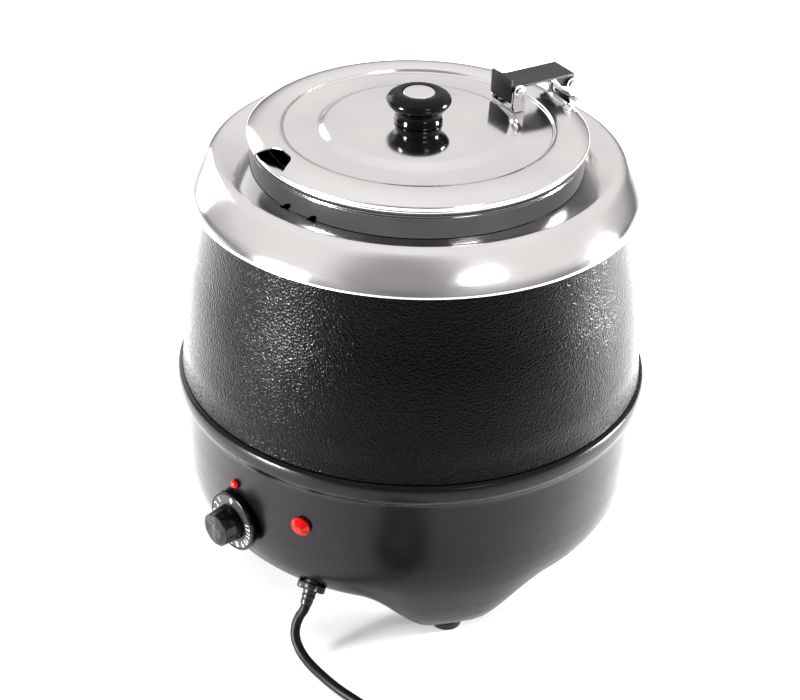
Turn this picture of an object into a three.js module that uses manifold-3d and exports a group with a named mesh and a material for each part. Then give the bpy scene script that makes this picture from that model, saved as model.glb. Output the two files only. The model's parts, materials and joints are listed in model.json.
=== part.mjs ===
// Soup kettle: a wet-heat buffet kettle of about ten litres, with a lift-out pot and a hinged lid.
// Millimetres, +Z up, standing on z = 0. The pot and lid face -Y (ladle notch) and hinge at +Y.
import * as THREE from 'three';
import { mergeVertices } from 'three/addons/utils/BufferGeometryUtils.js';
import Module from 'manifold-3d';

const wasm = await Module();
wasm.setup();

// ---------------------------------------------------------------- driving sizes
const rad = THREE.MathUtils.degToRad;
const gap = 0.3; // clearance between pieces that seat on each other
const roundSides = 36; // facets round the big turned pieces
const smallSides = 16; // facets round screws, pins and lamps

// pot: everything round it is sized from it
const potRadius = 107.6; // outside
const potSheet = 1;
const flangeWidth = 10.4; // from the pot's wall out to its turned-down collar
const collarHeight = 19.9; // the collar stands on the ring
const collarRadius = potRadius + flangeWidth;
const potBend = 16; // rounding of its floor

// heights from the table up
const footHeight = 8;
const underside = 36; // base between its feet
const seamZ = 161; // joint between base and barrel
const barrelHeight = 141;
const ringSkirtZ = seamZ + barrelHeight;
const wellFloorZ = 92; // inside
const waterDepth = 14; // between the floors of the well and the pot
const potFloorZ = wellFloorZ + waterDepth;

// body
const airGap = 45.6; // between the pot and the top of the barrel
const barrelFlare = 17.8; // how much wider the base is than the top of the barrel
const barrelWall = 1.4; // sheet barrel
const barrelTopRadius = potRadius + airGap;
const bodyRadius = barrelTopRadius + barrelFlare;
const barrelFootRadius = bodyRadius + 0.4;
const beadRadius = bodyRadius + 4.3; // widest line, at the top of the base
const shellWall = 2.4; // moulded base
const curveHeight = 81; // height of the base's rounded foot
const wallCurve = [ // base wall from its underside up, as [inset, share of curveHeight]
  [36, 0], [28, 0.027], [20.8, 0.089], [14.4, 0.173], [9.2, 0.272], [5.3, 0.37], [3, 0.481],
  [1.5, 0.617], [0.6, 0.802], [0, 1],
].map(([inset, share]) => [inset, underside + share * curveHeight]);

// steel ring on top of the barrel
const ringSheet = 1.2;
const ringOverhang = 9.6; // past the barrel
const ringSkirtRadius = barrelTopRadius + ringOverhang;
const ringRise = 27; // from the skirt's edge to the crest
const ringCrestZ = ringSkirtZ + ringRise;
const ringCrestRadius = ringSkirtRadius - 21.3;
const ringDish = 9; // from the crest down to the inner edge
const ringInnerZ = ringCrestZ - ringDish;
const ringInnerRadius = collarRadius - 4.5;
const ventRadius = 3;
const ventAngles = [10, 22];

// water well
const waterGap = 4.9; // between the walls of the well and the pot
const wellRadius = potRadius + waterGap; // outside
const wellSheet = 1;
const wellFlangeRadius = collarRadius + 8;

// feet
const footCount = 3;
const footCircle = bodyRadius - 46;
const footRadius = 12;
const lobeFlat = 7; // degrees each side of a foot where the lobe is flat
const lobeFade = 27; // degrees each side of a foot where the lobe ends

// lid
const lidRadius = collarRadius + 2.1;
const lidSheet = 1;
const lidSeat = 0.4; // under the lid's rolled edge
const lidRise = 8.2; // from the edge to the raised middle
const shoulderWidth = 25.7; // raised border, from the lid's edge inwards
const trackWidth = 23.8; // sunk track round the middle
const lidTrackDepth = 4.2;
const lidTrackOuter = lidRadius - shoulderWidth;
const lidTrackInner = lidTrackOuter - trackWidth;
const lidDiscRadius = lidTrackInner - 5.6;
const notchDepth = 15.5;
const notchInnerWidth = 20;
const notchOuterWidth = 41;

// lid knob
const knobHeadRadius = 22.7;
const knobWaistRadius = 16.2;
const knobFootRadius = 17;
const knobHeight = 22.3;
const knobCapRadius = 11.4;

// two-pin hinge
const frontPinRise = 15.7; // above the lid's track
const frontPinInset = 4.9; // out from the inner edge of the track
const rearPinRise = 16.2; // above the lid's edge
const rearPinOut = 1.9; // out from the lid's edge
const pinRadius = 1.7;
const pinHeadRadius = 3.2;
const armHalfWidth = 12.2;
const earInner = armHalfWidth + 0.4;
const earSheet = 1.4;
const earRadius = 5;
const knuckleRadius = 3.3;
const armSheet = 1.6;
const armPlateRise = 2.3; // underside of the arm's plate above the front pin
const armFront = 6.9; // front flap, ahead of the front pin
const armLip = 9.7; // top of the flap above the front pin
const armFlap = 8.1; // bottom of the flap below the front pin

// control panel: everything here turns with the base
const baseTurn = 12.5; // degrees from the ladle notch round to the control knob
const controlZ = seamZ - 71;
const dialRadius = 23;
const dialDepth = 4.9;
const gripLength = 15;
const gripRadius = 14;
const shaftRadius = 3;
const sidePanelAngle = 20; // lamp and cord, in degrees from the control knob
const lampZ = seamZ - 49;
const lampRadius = 7.4;
const indexLampZ = seamZ - 40;
const indexLampRadius = 3.4;
const glandZ = 49; // where the cord leaves, on the curve of the base
const glandTilt = 52; // degrees below level

// cord
const cordDiameter = 7;
const cordSides = 10;
const coilMiddle = 38.5;
const coilHalfWidth = 7.4;
const coilTop = 22.5;
const tieSheet = 1;
const coilCentre = new THREE.Vector2(240, -159.5); // from the kettle's axis
const plugLength = 38;
const plugRadius = 17;
const pinLength = 19;

// the box round the kettle is centred on the origin, and the knob reaches past the body
const dialBack = bodyRadius + 0.6;
const dialFaceRadius = dialBack + dialDepth;
const knobReach = dialFaceRadius + gripLength;
const axisY = (knobReach * Math.cos(rad(baseTurn)) - beadRadius) / 2;

// ---------------------------------------------------------------- materials
const finish = (color, roughness, metalness = 0) => (
  new THREE.MeshStandardMaterial({ color, roughness, metalness }));
const polishedSteel = finish(0xd9dadb, 0.12, 1);
const plainSteel = finish(0xa9abad, 0.4, 1);
const texturedBlack = finish(0x121316, 0.42);
const satinBlack = finish(0x151619, 0.35);
const hingeBlack = finish(0x1d1e20, 0.45);
const knobBlack = finish(0x0c0d0f, 0.25);
const rubberBlack = finish(0x161616, 0.75);
const cordBlack = finish(0x101114, 0.4);
const redLens = finish(0xb0121a, 0.15);
const aluminium = finish(0xc3c6c8, 0.45, 1);
const whiteCeramic = finish(0xe6e2d8, 0.5);
const siliconeGrey = finish(0xb9b7b0, 0.7);
const brass = finish(0xb5913f, 0.35, 1);

// ---------------------------------------------------------------- shape helpers
// Welds a geometry, drops its collapsed faces and turns its faces outwards.
function closed(geometry) {
  const bare = geometry.clone();
  bare.deleteAttribute('normal');
  bare.deleteAttribute('uv');
  const welded = mergeVertices(bare, 1e-4);
  const index = Array.from(welded.index.array);
  const kept = [];
  for (let i = 0; i < index.length; i += 3) {
    const [a, b, c] = index.slice(i, i + 3);
    if (a !== b && b !== c && c !== a) kept.push(a, b, c);
  }
  const corner = [0, 1, 2].map(() => new THREE.Vector3());
  let volume = 0;
  for (let i = 0; i < kept.length; i += 3) {
    corner.forEach((v, k) => v.fromBufferAttribute(welded.attributes.position, kept[i + k]));
    volume += corner[0].dot(corner[1].clone().cross(corner[2]));
  }
  if (volume < 0) kept.reverse();
  welded.setIndex(kept);
  return welded;
}

function solid(geometry) {
  const welded = closed(geometry);
  return new wasm.Manifold(new wasm.Mesh({
    numProp: 3,
    vertProperties: new Float32Array(welded.attributes.position.array),
    triVerts: new Uint32Array(welded.index.array),
  }));
}

function surface(body) {
  const mesh = body.getMesh();
  const geometry = new THREE.BufferGeometry();
  geometry.setAttribute('position', new THREE.BufferAttribute(mesh.vertProperties, 3));
  geometry.setIndex(new THREE.BufferAttribute(mesh.triVerts, 1));
  return geometry;
}

const cut = (piece, ...tools) => (
  surface(tools.reduce((body, tool) => body.subtract(solid(tool)), solid(piece))));
const joined = (...pieces) => surface(pieces.map(solid).reduce((a, b) => a.add(b)));

// A profile of [radius, height] pairs turned about the vertical axis.
// `loop` closes the profile on itself; otherwise it starts and ends on the axis.
function turned(profile, { loop = true, sides = roundSides } = {}) {
  const points = profile.map(([r, z]) => new THREE.Vector2(r, z));
  if (loop) points.push(points[0].clone());
  return closed(new THREE.LatheGeometry(points, sides).rotateX(Math.PI / 2));
}

// Points on a round stretch of a profile, from one angle to another about a centre.
function arc(centreR, centreZ, radius, from, to, steps) {
  return Array.from({ length: steps + 1 }, (_, i) => {
    const a = rad(from + ((to - from) * i) / steps);
    return [centreR + radius * Math.cos(a), centreZ + radius * Math.sin(a)];
  });
}

// A wall of even thickness from its outer profile, listed from one edge to the other.
function walled(outer, thickness) {
  const inner = outer.map(([r, z], i) => {
    const [r0, z0] = outer[Math.max(i - 1, 0)];
    const [r1, z1] = outer[Math.min(i + 1, outer.length - 1)];
    const length = Math.hypot(r1 - r0, z1 - z0);
    return [r + (thickness * (z1 - z0)) / length, z - (thickness * (r1 - r0)) / length];
  });
  return [...outer, ...inner.reverse()];
}

// An upright cylinder between two heights.
function rod(radius, low, high, sides = smallSides) {
  return new THREE.CylinderGeometry(radius, radius, high - low, sides)
    .rotateX(Math.PI / 2)
    .translate(0, 0, (low + high) / 2);
}

// A cylinder along X between two ends, at a height and depth.
function crossRod(radius, left, right, y, z, sides = smallSides) {
  return new THREE.CylinderGeometry(radius, radius, right - left, sides)
    .rotateZ(Math.PI / 2)
    .translate((left + right) / 2, y, z);
}

// A box from its low and high corners.
function block(low, high) {
  const size = high.map((v, i) => v - low[i]);
  return new THREE.BoxGeometry(...size)
    .translate(...low.map((v, i) => v + size[i] / 2));
}

// A side outline of [y, z] pairs, given thickness along X.
function sidePlate(outline, left, right) {
  const shape = new THREE.Shape(outline.map(([y, z]) => new THREE.Vector2(y, z)));
  return new THREE.ExtrudeGeometry(shape, { depth: right - left, bevelEnabled: false })
    .applyMatrix4(new THREE.Matrix4().set(0, 0, 1, left, 1, 0, 0, 0, 0, 1, 0, 0, 0, 0, 0, 1));
}

// A round section swept along a smooth line through points.
function swept(points, radius, sides, steps) {
  const section = new THREE.Shape(Array.from({ length: sides }, (_, i) => {
    const a = (2 * Math.PI * i) / sides;
    return new THREE.Vector2(radius * Math.cos(a), radius * Math.sin(a));
  }));
  const path = new THREE.CatmullRomCurve3(points, false, 'centripetal');
  return new THREE.ExtrudeGeometry(section, { steps, extrudePath: path, bevelEnabled: false });
}

// A pan-head screw pointing up, its head below its shank.
function screw(headRadius, headLow, headHigh, shankRadius, top) {
  return turned([[0, headLow], [headRadius - 0.6, headLow], [headRadius, headLow + 0.6],
    [headRadius, headHigh], [shankRadius, headHigh], [shankRadius, top], [0, top]],
  { loop: false, sides: 12 });
}

// A hexagon nut with its hole.
function nut(acrossCorners, hole, low, high) {
  return cut(rod(acrossCorners / 2, low, high, 6), rod(hole, low - 1, high + 1, 12));
}

// ---------------------------------------------------------------- scene tree
const kettle = new THREE.Group(); // its upright axis carries every turned piece
kettle.position.y = axisY;
const baseGroup = new THREE.Group(); // base, controls and feet
baseGroup.rotation.z = rad(baseTurn);
const sideGroup = new THREE.Group(); // lamp and cord exit
sideGroup.rotation.z = rad(sidePanelAngle);
baseGroup.add(sideGroup);
kettle.add(baseGroup);

function add(group, name, geometry, material) {
  const mesh = new THREE.Mesh(closed(geometry), material);
  mesh.name = name;
  group.add(mesh);
}

// Moves a piece made round the vertical axis out to a circle, front first, then round it.
const around = (geometry, circle, angle) => (
  geometry.translate(0, -circle, 0).rotateZ(rad(angle)));

// ---------------------------------------------------------------- ring, barrel, gasket, well
const ringSlope = (ringCrestZ - 1.5 - ringInnerZ) / (ringCrestRadius - 5.5 - ringInnerRadius);
const ringTopAt = (r) => ringInnerZ + (r - ringInnerRadius) * ringSlope;
const underRing = (r, drop) => [r, ringTopAt(r) - ringSheet * 1.06 - gap - drop];
const vents = ventAngles.map((angle) => around(
  rod(ventRadius, ringInnerZ - 8, ringInnerZ + 10, 12), collarRadius + 1, angle));

add(kettle, 'top_ring', cut(turned(walled([
  [ringSkirtRadius, ringSkirtZ],
  [ringSkirtRadius - 2.3, ringSkirtZ + 7],
  [ringSkirtRadius - 7.8, ringSkirtZ + 15],
  [ringSkirtRadius - 14, ringSkirtZ + 22.5],
  [ringCrestRadius + 4.4, ringCrestZ - 1.8],
  [ringCrestRadius, ringCrestZ],
  [ringCrestRadius - 5.5, ringCrestZ - 1.5],
  [ringInnerRadius, ringInnerZ],
], -ringSheet)), ...vents), polishedSteel);

const shellScrewAngles = [90, 210, 330];
const seamLip = bodyRadius - 15; // inner edge of the two lips that meet at the seam
const shellScrewCircle = bodyRadius - 10;
const shellScrewHole = (angle) => around(rod(2.3, seamZ - 6, seamZ + 5, 12), shellScrewCircle, angle);
const barrelFloor = seamZ + gap;

add(kettle, 'upper_shell', cut(turned([
  ...walled([
    [barrelFootRadius, barrelFloor + barrelWall],
    [barrelFootRadius - 0.5, seamZ + 3],
    [barrelFootRadius - 1.6, seamZ + 12],
    [barrelFootRadius - 1.8, seamZ + barrelHeight * 0.17],
    [barrelTopRadius + barrelFlare * 0.66, seamZ + barrelHeight * 0.468],
    [barrelTopRadius + barrelFlare * 0.213, seamZ + barrelHeight * 0.766],
    [barrelTopRadius, ringSkirtZ],
    [barrelTopRadius - 2.5, ringSkirtZ + 14],
    underRing(barrelTopRadius - 8, 5.2),
    underRing(wellFlangeRadius + 2, 2.6),
    underRing(wellRadius + 3, 2.6),
  ], -barrelWall),
  [seamLip, barrelFloor + barrelWall], [seamLip, barrelFloor], [barrelFootRadius, barrelFloor],
]), ...shellScrewAngles.map((angle) => shellScrewHole(baseTurn + angle))), texturedBlack);

const gasketWidth = 10;
add(kettle, 'ring_gasket', turned([
  underRing(wellFlangeRadius + 1, 0), underRing(wellFlangeRadius + gasketWidth, 0),
  underRing(wellFlangeRadius + gasketWidth, 2.2), underRing(wellFlangeRadius + 1, 2.2),
]), siliconeGrey);

add(kettle, 'water_well', cut(turned([
  [0, wellFloorZ - wellSheet], [wellRadius - 14, wellFloorZ - wellSheet],
  ...arc(wellRadius - 14, wellFloorZ - wellSheet + 14, 14, -72, 0, 4),
  underRing(wellRadius, 1.6),
  underRing(wellFlangeRadius, 1.6), underRing(wellFlangeRadius, 0.1),
  underRing(wellRadius - wellSheet, 0.1),
  ...arc(wellRadius - 14, wellFloorZ - wellSheet + 14, 14 - wellSheet, 0, -72, 4),
  [wellRadius - 14, wellFloorZ], [0, wellFloorZ],
], { loop: false }), ...vents), plainSteel);

// ---------------------------------------------------------------- base
const footAngles = Array.from({ length: footCount }, (_, i) => 60 + (360 / footCount) * i);
const plateScrewAngles = footAngles.map((angle) => angle - 40);
const plateScrewCircle = footCircle - 8;
const baseLipRadius = footCircle - 13; // inner edge of the underside

// Radius of the base's outer wall at a height.
function wallRadius(z) {
  const above = wallCurve.findIndex((point) => point[1] >= z);
  if (above < 1) return bodyRadius;
  const [[inset0, z0], [inset1, z1]] = [wallCurve[above - 1], wallCurve[above]];
  return bodyRadius - THREE.MathUtils.mapLinear(z, z0, z1, inset0, inset1);
}

// How far the lobe over the nearest foot reaches at this angle: 1 over the foot, 0 between feet.
function lobeShare(angle) {
  const away = Math.min(...footAngles.map((foot) => (
    Math.abs(((angle - foot + 540) % 360) - 180))));
  return 1 - THREE.MathUtils.smoothstep(away, lobeFlat, lobeFade);
}

// Draws the underside of the turned base down over its feet.
function withLobes(geometry) {
  const at = geometry.attributes.position;
  const fadeZ = underside + 56;
  for (let i = 0; i < at.count; i += 1) {
    const low = THREE.MathUtils.clamp((fadeZ - at.getZ(i)) / (fadeZ - underside), 0, 1);
    const angle = THREE.MathUtils.radToDeg(Math.atan2(at.getX(i), -at.getY(i)));
    at.setZ(i, at.getZ(i) - (underside - footHeight) * lobeShare(angle) * low ** 2.4);
  }
  return geometry;
}

function baseShell() {
  const outside = [
    [baseLipRadius, underside],
    ...wallCurve.map(([inset, z]) => [bodyRadius - inset, z]),
    [bodyRadius, seamZ - 20],
    [bodyRadius + 0.7, seamZ - 16.5],
    [beadRadius - 1.8, seamZ - 14.8],
    [beadRadius, seamZ - 11.5],
    [beadRadius, seamZ - 5.5],
    [beadRadius - 1, seamZ - 1.8],
    [beadRadius - 3.5, seamZ],
  ];
  const inside = wallCurve.slice(2).map(([inset, z]) => [bodyRadius - inset - shellWall, z + 0.6]);
  return withLobes(turned([
    ...outside,
    [seamLip, seamZ], [seamLip, seamZ - 3], [bodyRadius - shellWall, seamZ - 3],
    ...inside.reverse(),
    [bodyRadius - 27.6, underside + 5.2], [bodyRadius - 35, underside + shellWall],
    [baseLipRadius, underside + shellWall],
  ], { sides: 48 }));
}

// Pieces made upright are laid outwards, away from the axis, at a height.
const outward = (geometry, z) => geometry.rotateX(Math.PI / 2).translate(0, 0, z);
const wallHole = (radius, z) => outward(rod(radius, bodyRadius - 50, bodyRadius + 20, 20), z);
const toSide = (geometry) => geometry.rotateZ(rad(sidePanelAngle));

// The cord leaves downwards and outwards, square to the curve of the base.
const alongCord = (geometry) => (
  geometry.rotateX(rad(90 + glandTilt)).translate(0, -wallRadius(glandZ), glandZ));

add(baseGroup, 'base_shell', cut(
  baseShell(),
  wallHole(shaftRadius + 2.4, controlZ),
  wallHole(indexLampRadius - 0.6, indexLampZ),
  toSide(wallHole(lampRadius - 1.4, lampZ)),
  toSide(alongCord(rod(6.3, -30, 20, 20))),
  ...footAngles.map((angle) => around(rod(2.4, 0, 40, 12), footCircle, angle)),
  ...plateScrewAngles.map((angle) => around(rod(2.2, 20, 60, 12), plateScrewCircle, angle)),
  ...shellScrewAngles.map(shellScrewHole),
), satinBlack);

const plateLow = underside + shellWall + gap;
const plateHigh = plateLow + 1.2;
add(baseGroup, 'base_plate', cut(
  rod(baseLipRadius + 10, plateLow, plateHigh, 36),
  rod(4.4, 0, 80, 12),
  ...plateScrewAngles.map((angle) => around(rod(2.2, 20, 60, 12), plateScrewCircle, angle)),
), plainSteel);

footAngles.forEach((angle, i) => {
  add(baseGroup, `foot_${i + 1}`, around(turned([
    [2.4, 5], [2.4, footHeight - gap], [footRadius - 0.6, footHeight - gap],
    [footRadius, footHeight - 1.4], [footRadius - 0.8, 1], [footRadius - 1.8, 0], [5.2, 0], [5.2, 5],
  ], { sides: smallSides }), footCircle, angle), rubberBlack);
  add(baseGroup, `foot_screw_${i + 1}`,
    around(screw(4.6, 1.6, 4.7, 1.9, 22), footCircle, angle), plainSteel);
});
plateScrewAngles.forEach((angle, i) => {
  add(baseGroup, `plate_screw_${i + 1}`, around(
    screw(4.2, underside - 3, underside - gap, 1.8, plateHigh + 6), plateScrewCircle, angle), plainSteel);
});
shellScrewAngles.forEach((angle, i) => {
  add(baseGroup, `shell_screw_${i + 1}`, around(
    screw(4.2, seamZ - 6.2, seamZ - 3.3, 1.9, seamZ + 7), shellScrewCircle, angle), plainSteel);
});

// ---------------------------------------------------------------- heater, below the well
const heaterTop = wellFloorZ - wellSheet - gap;
const spreaderLow = heaterTop - 3;
const tubeRadius = 4;
const tubeCircle = wellRadius - 42.5;
const clampHigh = spreaderLow - gap - 2 * tubeRadius - gap;
const clampLow = clampHigh - 2;
const shieldZ = clampLow - 15;
const shieldRadius = wellRadius - 9.3;
const studHole = rod(4.4, 40, 120, 12);

add(baseGroup, 'element_plate', cut(
  rod(wellRadius - 24.5, spreaderLow, heaterTop, 36), studHole), aluminium);

function heatingElement() {
  const z = spreaderLow - gap - tubeRadius;
  const ring = Array.from({ length: 21 }, (_, i) => {
    const a = rad(112 + 316 * (i / 20));
    return new THREE.Vector3(tubeCircle * Math.cos(a), tubeCircle * Math.sin(a), z);
  });
  const tail = (p) => [p.clone().multiplyScalar(1.14).setZ(z - 2), p.clone().multiplyScalar(1.3).setZ(z - 4)];
  return swept([...tail(ring[0]).reverse(), ...ring, ...tail(ring[20])], tubeRadius, 8, 44);
}
add(baseGroup, 'heating_element', heatingElement(), plainSteel);
add(baseGroup, 'element_clamp', cut(
  block([-tubeCircle - 8, -9, clampLow], [tubeCircle + 8, 9, clampHigh]), studHole), plainSteel);
add(baseGroup, 'clamp_nut', nut(14, 4.4, shieldZ + 1 + gap, clampLow - gap), plainSteel);
add(baseGroup, 'heat_shield', cut(turned([
  [0, shieldZ], [shieldRadius - 5.2, shieldZ], [shieldRadius - 1.2, shieldZ + 6],
  [shieldRadius, shieldZ + 6.6], [shieldRadius, shieldZ + 7.6], [shieldRadius - 2, shieldZ + 7],
  [shieldRadius - 6, shieldZ + 1], [0, shieldZ + 1],
], { loop: false, sides: 36 }), studHole), aluminium);
add(baseGroup, 'centre_stud', turned([
  [0, plateLow - 9], [4, plateLow - 9], [4, plateHigh + gap], [8, plateHigh + gap],
  [8, shieldZ - gap], [4, shieldZ - gap], [4, heaterTop - 0.2], [0, heaterTop - 0.2],
], { loop: false, sides: 12 }), plainSteel);
add(baseGroup, 'plate_nut', nut(14, 4.4, plateLow - gap - 6, plateLow - gap), plainSteel);

// ---------------------------------------------------------------- control knob and thermostat
const bracketHalf = 10; // half height of the thermostat's bracket
const wallInside = wallRadius(controlZ - bracketHalf) - shellWall - gap;
function controlKnob() {
  const skirt = turned([
    [0, dialBack], [dialRadius - 0.8, dialBack], [dialRadius, dialBack + 0.8],
    [dialRadius, dialFaceRadius - 0.8], [dialRadius - 0.8, dialFaceRadius], [0, dialFaceRadius],
  ], { loop: false, sides: 36 });
  const grip = new THREE.CylinderGeometry(gripRadius - 1, gripRadius, gripLength + 1, 12)
    .rotateX(Math.PI / 2)
    .translate(0, 0, dialFaceRadius + (gripLength - 1) / 2);
  const bore = rod(shaftRadius + gap, dialBack - 1, dialBack + 14, 12);
  return outward(cut(joined(skirt, grip), bore), controlZ);
}
add(baseGroup, 'control_knob', controlKnob(), knobBlack);

const bodyBack = wallInside - 42;
const bodyFront = wallInside - 16;
add(baseGroup, 'thermostat_shaft', outward(
  rod(shaftRadius, bodyFront + gap, dialBack + 13.5, 12), controlZ), plainSteel);
add(baseGroup, 'thermostat_body', block(
  [-17, -bodyFront, controlZ - 19], [17, -bodyBack, controlZ + 15]), whiteCeramic);
add(baseGroup, 'thermostat_bracket', cut(
  joined(
    block([-24, -bodyFront - 2, controlZ - bracketHalf], [24, -bodyFront - 0.4, controlZ + bracketHalf]),
    ...[-1, 1].map((side) => block(
      [side * 23.2 - 0.8, -bodyFront - 11.6, controlZ - bracketHalf],
      [side * 23.2 + 0.8, -bodyFront - 0.6, controlZ + bracketHalf])),
  ),
  wallHole(shaftRadius + 1, controlZ),
), plainSteel);

const bulbZ = shieldZ + 5;
add(baseGroup, 'sensor_bulb', crossRod(3, -22, 22, -50, bulbZ, 10), brass);
const bodyMiddle = -(bodyBack + bodyFront) / 2;
add(baseGroup, 'capillary_tube', swept([
  [22.6, -50, bulbZ], [34, -52, bulbZ + 1], [42, -62, bulbZ + 5], [44, -shieldRadius + 16, bulbZ + 9],
  [40, bodyMiddle + 10, bulbZ + 10], [30, bodyMiddle, bulbZ + 11], [17.6, bodyMiddle, bulbZ + 11],
].map((point) => new THREE.Vector3(...point)), 1.1, 6, 28), brass);
add(baseGroup, 'thermal_cutout', rod(8, clampHigh - 13, clampHigh - 1, 16)
  .translate(34, 30, 0), knobBlack);

// ---------------------------------------------------------------- lamps
const lampSeat = bodyRadius + gap;
const lampWall = wallRadius(lampZ - 9) - shellWall; // inner face of the base at its nut
add(baseGroup, 'index_lamp', outward(turned([
  [0, lampSeat - 18], [indexLampRadius - 0.9, lampSeat - 18],
  [indexLampRadius - 0.9, lampSeat], [indexLampRadius, lampSeat],
  [indexLampRadius, lampSeat + 1.4], [indexLampRadius * 0.7, lampSeat + 3.2], [0, lampSeat + 4],
], { loop: false, sides: smallSides }), indexLampZ), redLens);
add(sideGroup, 'power_lamp_lens', outward(turned([
  [0, lampSeat], [lampRadius, lampSeat], [lampRadius, lampSeat + 2.2],
  [lampRadius * 0.82, lampSeat + 4.6], [lampRadius * 0.4, lampSeat + 6], [0, lampSeat + 6.2],
], { loop: false, sides: smallSides }), lampZ), redLens);
add(sideGroup, 'power_lamp_body', outward(
  rod(lampRadius - 1.9, lampSeat - 30, lampSeat - gap), lampZ), whiteCeramic);
add(sideGroup, 'lamp_nut', outward(
  nut(18, lampRadius - 1.4, lampWall - 7, lampWall - 1.2), lampZ), plainSteel);

// ---------------------------------------------------------------- wiring inside the base
const blockFloor = plateHigh + gap;
add(baseGroup, 'terminal_block', joined(
  block([50, 18, blockFloor], [72, 62, blockFloor + 9]),
  ...[20, 34, 48].map((y) => block([54, y, blockFloor + 8], [68, y + 12, blockFloor + 14])),
), whiteCeramic);
add(baseGroup, 'earth_stud', joined(
  rod(6, blockFloor, blockFloor + 3, 6), rod(2, blockFloor + 2, blockFloor + 14, 10),
).translate(-58, -30, 0), brass);

// ---------------------------------------------------------------- pot
const collarLow = ringTopAt(collarRadius) + gap;
const potRimZ = collarLow + collarHeight;
const bendZ = potFloorZ + potBend;

function soupPot() {
  const inner = potRadius - potSheet;
  const body = turned([
    [0, potFloorZ],
    ...arc(potRadius - potBend, bendZ, potBend, -90, 0, 5),
    [potRadius, potRimZ - potSheet], [collarRadius - potSheet, potRimZ - potSheet],
    [collarRadius - potSheet, collarLow], [collarRadius, collarLow],
    [collarRadius, potRimZ - 1.4], [collarRadius - 1.4, potRimZ],
    [inner + 1.2, potRimZ], [inner, potRimZ - 1.2],
    ...arc(potRadius - potBend, bendZ, potBend - potSheet, 0, -90, 5),
    [0, potFloorZ + potSheet],
  ], { loop: false });
  return cut(body, ...collarRivetSides.map((x) => rivetHole(x)));
}

const collarRivetSides = [-8, 8];
const collarRivetZ = potRimZ - 9.4;
const rivetHole = (x) => (
  rod(2.2, potRadius + 4, collarRadius + 12, 12).rotateX(-Math.PI / 2).translate(x, 0, collarRivetZ));
add(kettle, 'soup_pot', soupPot(), polishedSteel);

// ---------------------------------------------------------------- lid
const lidEdgeZ = potRimZ + lidSeat;
const lidDiscZ = lidEdgeZ + lidRise;
const lidTrackZ = lidDiscZ - lidTrackDepth;
const frontPinY = lidTrackInner + frontPinInset;
const frontPinZ = lidTrackZ + frontPinRise;
const rearPinY = lidRadius + rearPinOut;
const rearPinZ = lidEdgeZ + rearPinRise;
const throughLid = (radius) => rod(radius, lidEdgeZ - 20, lidEdgeZ + 40, 12);
const lidRivetSides = [-8, 8];
const lidRivetY = frontPinY + 1;

// The ladle's opening: narrow inside, wide at the rim, with rounded inner corners.
function ladleNotch() {
  const corner = 5;
  const inside = -(lidRadius - notchDepth);
  const outside = -(lidRadius + 2);
  const half = notchInnerWidth / 2;
  const shape = new THREE.Shape();
  shape.moveTo(-notchOuterWidth / 2 - 1.4, outside);
  shape.lineTo(-half - corner * 0.45, inside - corner);
  shape.quadraticCurveTo(-half, inside, -half + corner, inside);
  shape.lineTo(half - corner, inside);
  shape.quadraticCurveTo(half, inside, half + corner * 0.45, inside - corner);
  shape.lineTo(notchOuterWidth / 2 + 1.4, outside);
  shape.closePath();
  return new THREE.ExtrudeGeometry(shape, { depth: 30, bevelEnabled: false, curveSegments: 4 })
    .translate(0, 0, lidEdgeZ - 10);
}

add(kettle, 'lid', cut(
  turned(walled([
    [0, lidDiscZ], [lidDiscRadius, lidDiscZ], [lidTrackInner, lidTrackZ + 0.3],
    [lidTrackOuter, lidTrackZ], [lidTrackOuter + 1.2, lidDiscZ - 1.5],
    [lidTrackOuter + 4.6, lidDiscZ - 0.3], [lidRadius - 14, lidDiscZ],
    [lidRadius - 7, lidDiscZ - 1.6], [lidRadius - 2, lidEdgeZ + 3.8],
    [lidRadius - 0.3, lidEdgeZ + 2.6], [lidRadius, lidEdgeZ + 1.6], [lidRadius, lidEdgeZ],
  ], lidSheet), { loop: false }),
  ladleNotch(),
  throughLid(2.6),
  ...lidRivetSides.map((x) => throughLid(2.2).translate(x, lidRivetY, 0)),
), polishedSteel);

const knobLow = lidDiscZ + gap;
const knobHigh = knobLow + knobHeight;
add(kettle, 'lid_knob', turned([
  [2.5, knobLow], [knobFootRadius, knobLow], [knobFootRadius, knobLow + 2],
  [knobWaistRadius, knobLow + 5], [knobWaistRadius + 0.6, knobLow + 8.5],
  [knobHeadRadius - 1.4, knobLow + 13], [knobHeadRadius, knobLow + 15.6],
  [knobHeadRadius, knobLow + 17.6], [knobHeadRadius - 1.6, knobHigh - 2.4],
  [knobHeadRadius - 5.4, knobHigh - 0.4], [knobHeadRadius - 8, knobHigh],
  [knobCapRadius + gap, knobHigh - 0.2], [knobCapRadius + gap, knobHigh - 2], [2.5, knobHigh - 2],
], { sides: 24 }), knobBlack);
add(kettle, 'knob_cap', turned([
  [0, knobHigh - 1.4], [knobCapRadius, knobHigh - 1.4], [knobCapRadius, knobHigh - 0.5],
  [knobCapRadius - 1, knobHigh + 0.2], [0, knobHigh + 0.4],
], { loop: false, sides: 24 }), polishedSteel);
add(kettle, 'knob_screw', screw(
  5, lidDiscZ - lidSheet - gap - 3, lidDiscZ - lidSheet - gap, 2, knobHigh - 2.4), plainSteel);

// ---------------------------------------------------------------- hinge
const bracketFloor = lidTrackZ + 0.3 + gap;
const earCircle = (y, z) => arc(y, z, earRadius, 0, 180, 8);
const onBothSides = (outline) => [-1, 1].map((side) => (
  sidePlate(outline, Math.min(side * earInner, side * (earInner + earSheet)),
    Math.max(side * earInner, side * (earInner + earSheet)))));
const pinHole = (y, z) => crossRod(pinRadius + gap, -30, 30, y, z, 12);

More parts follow.
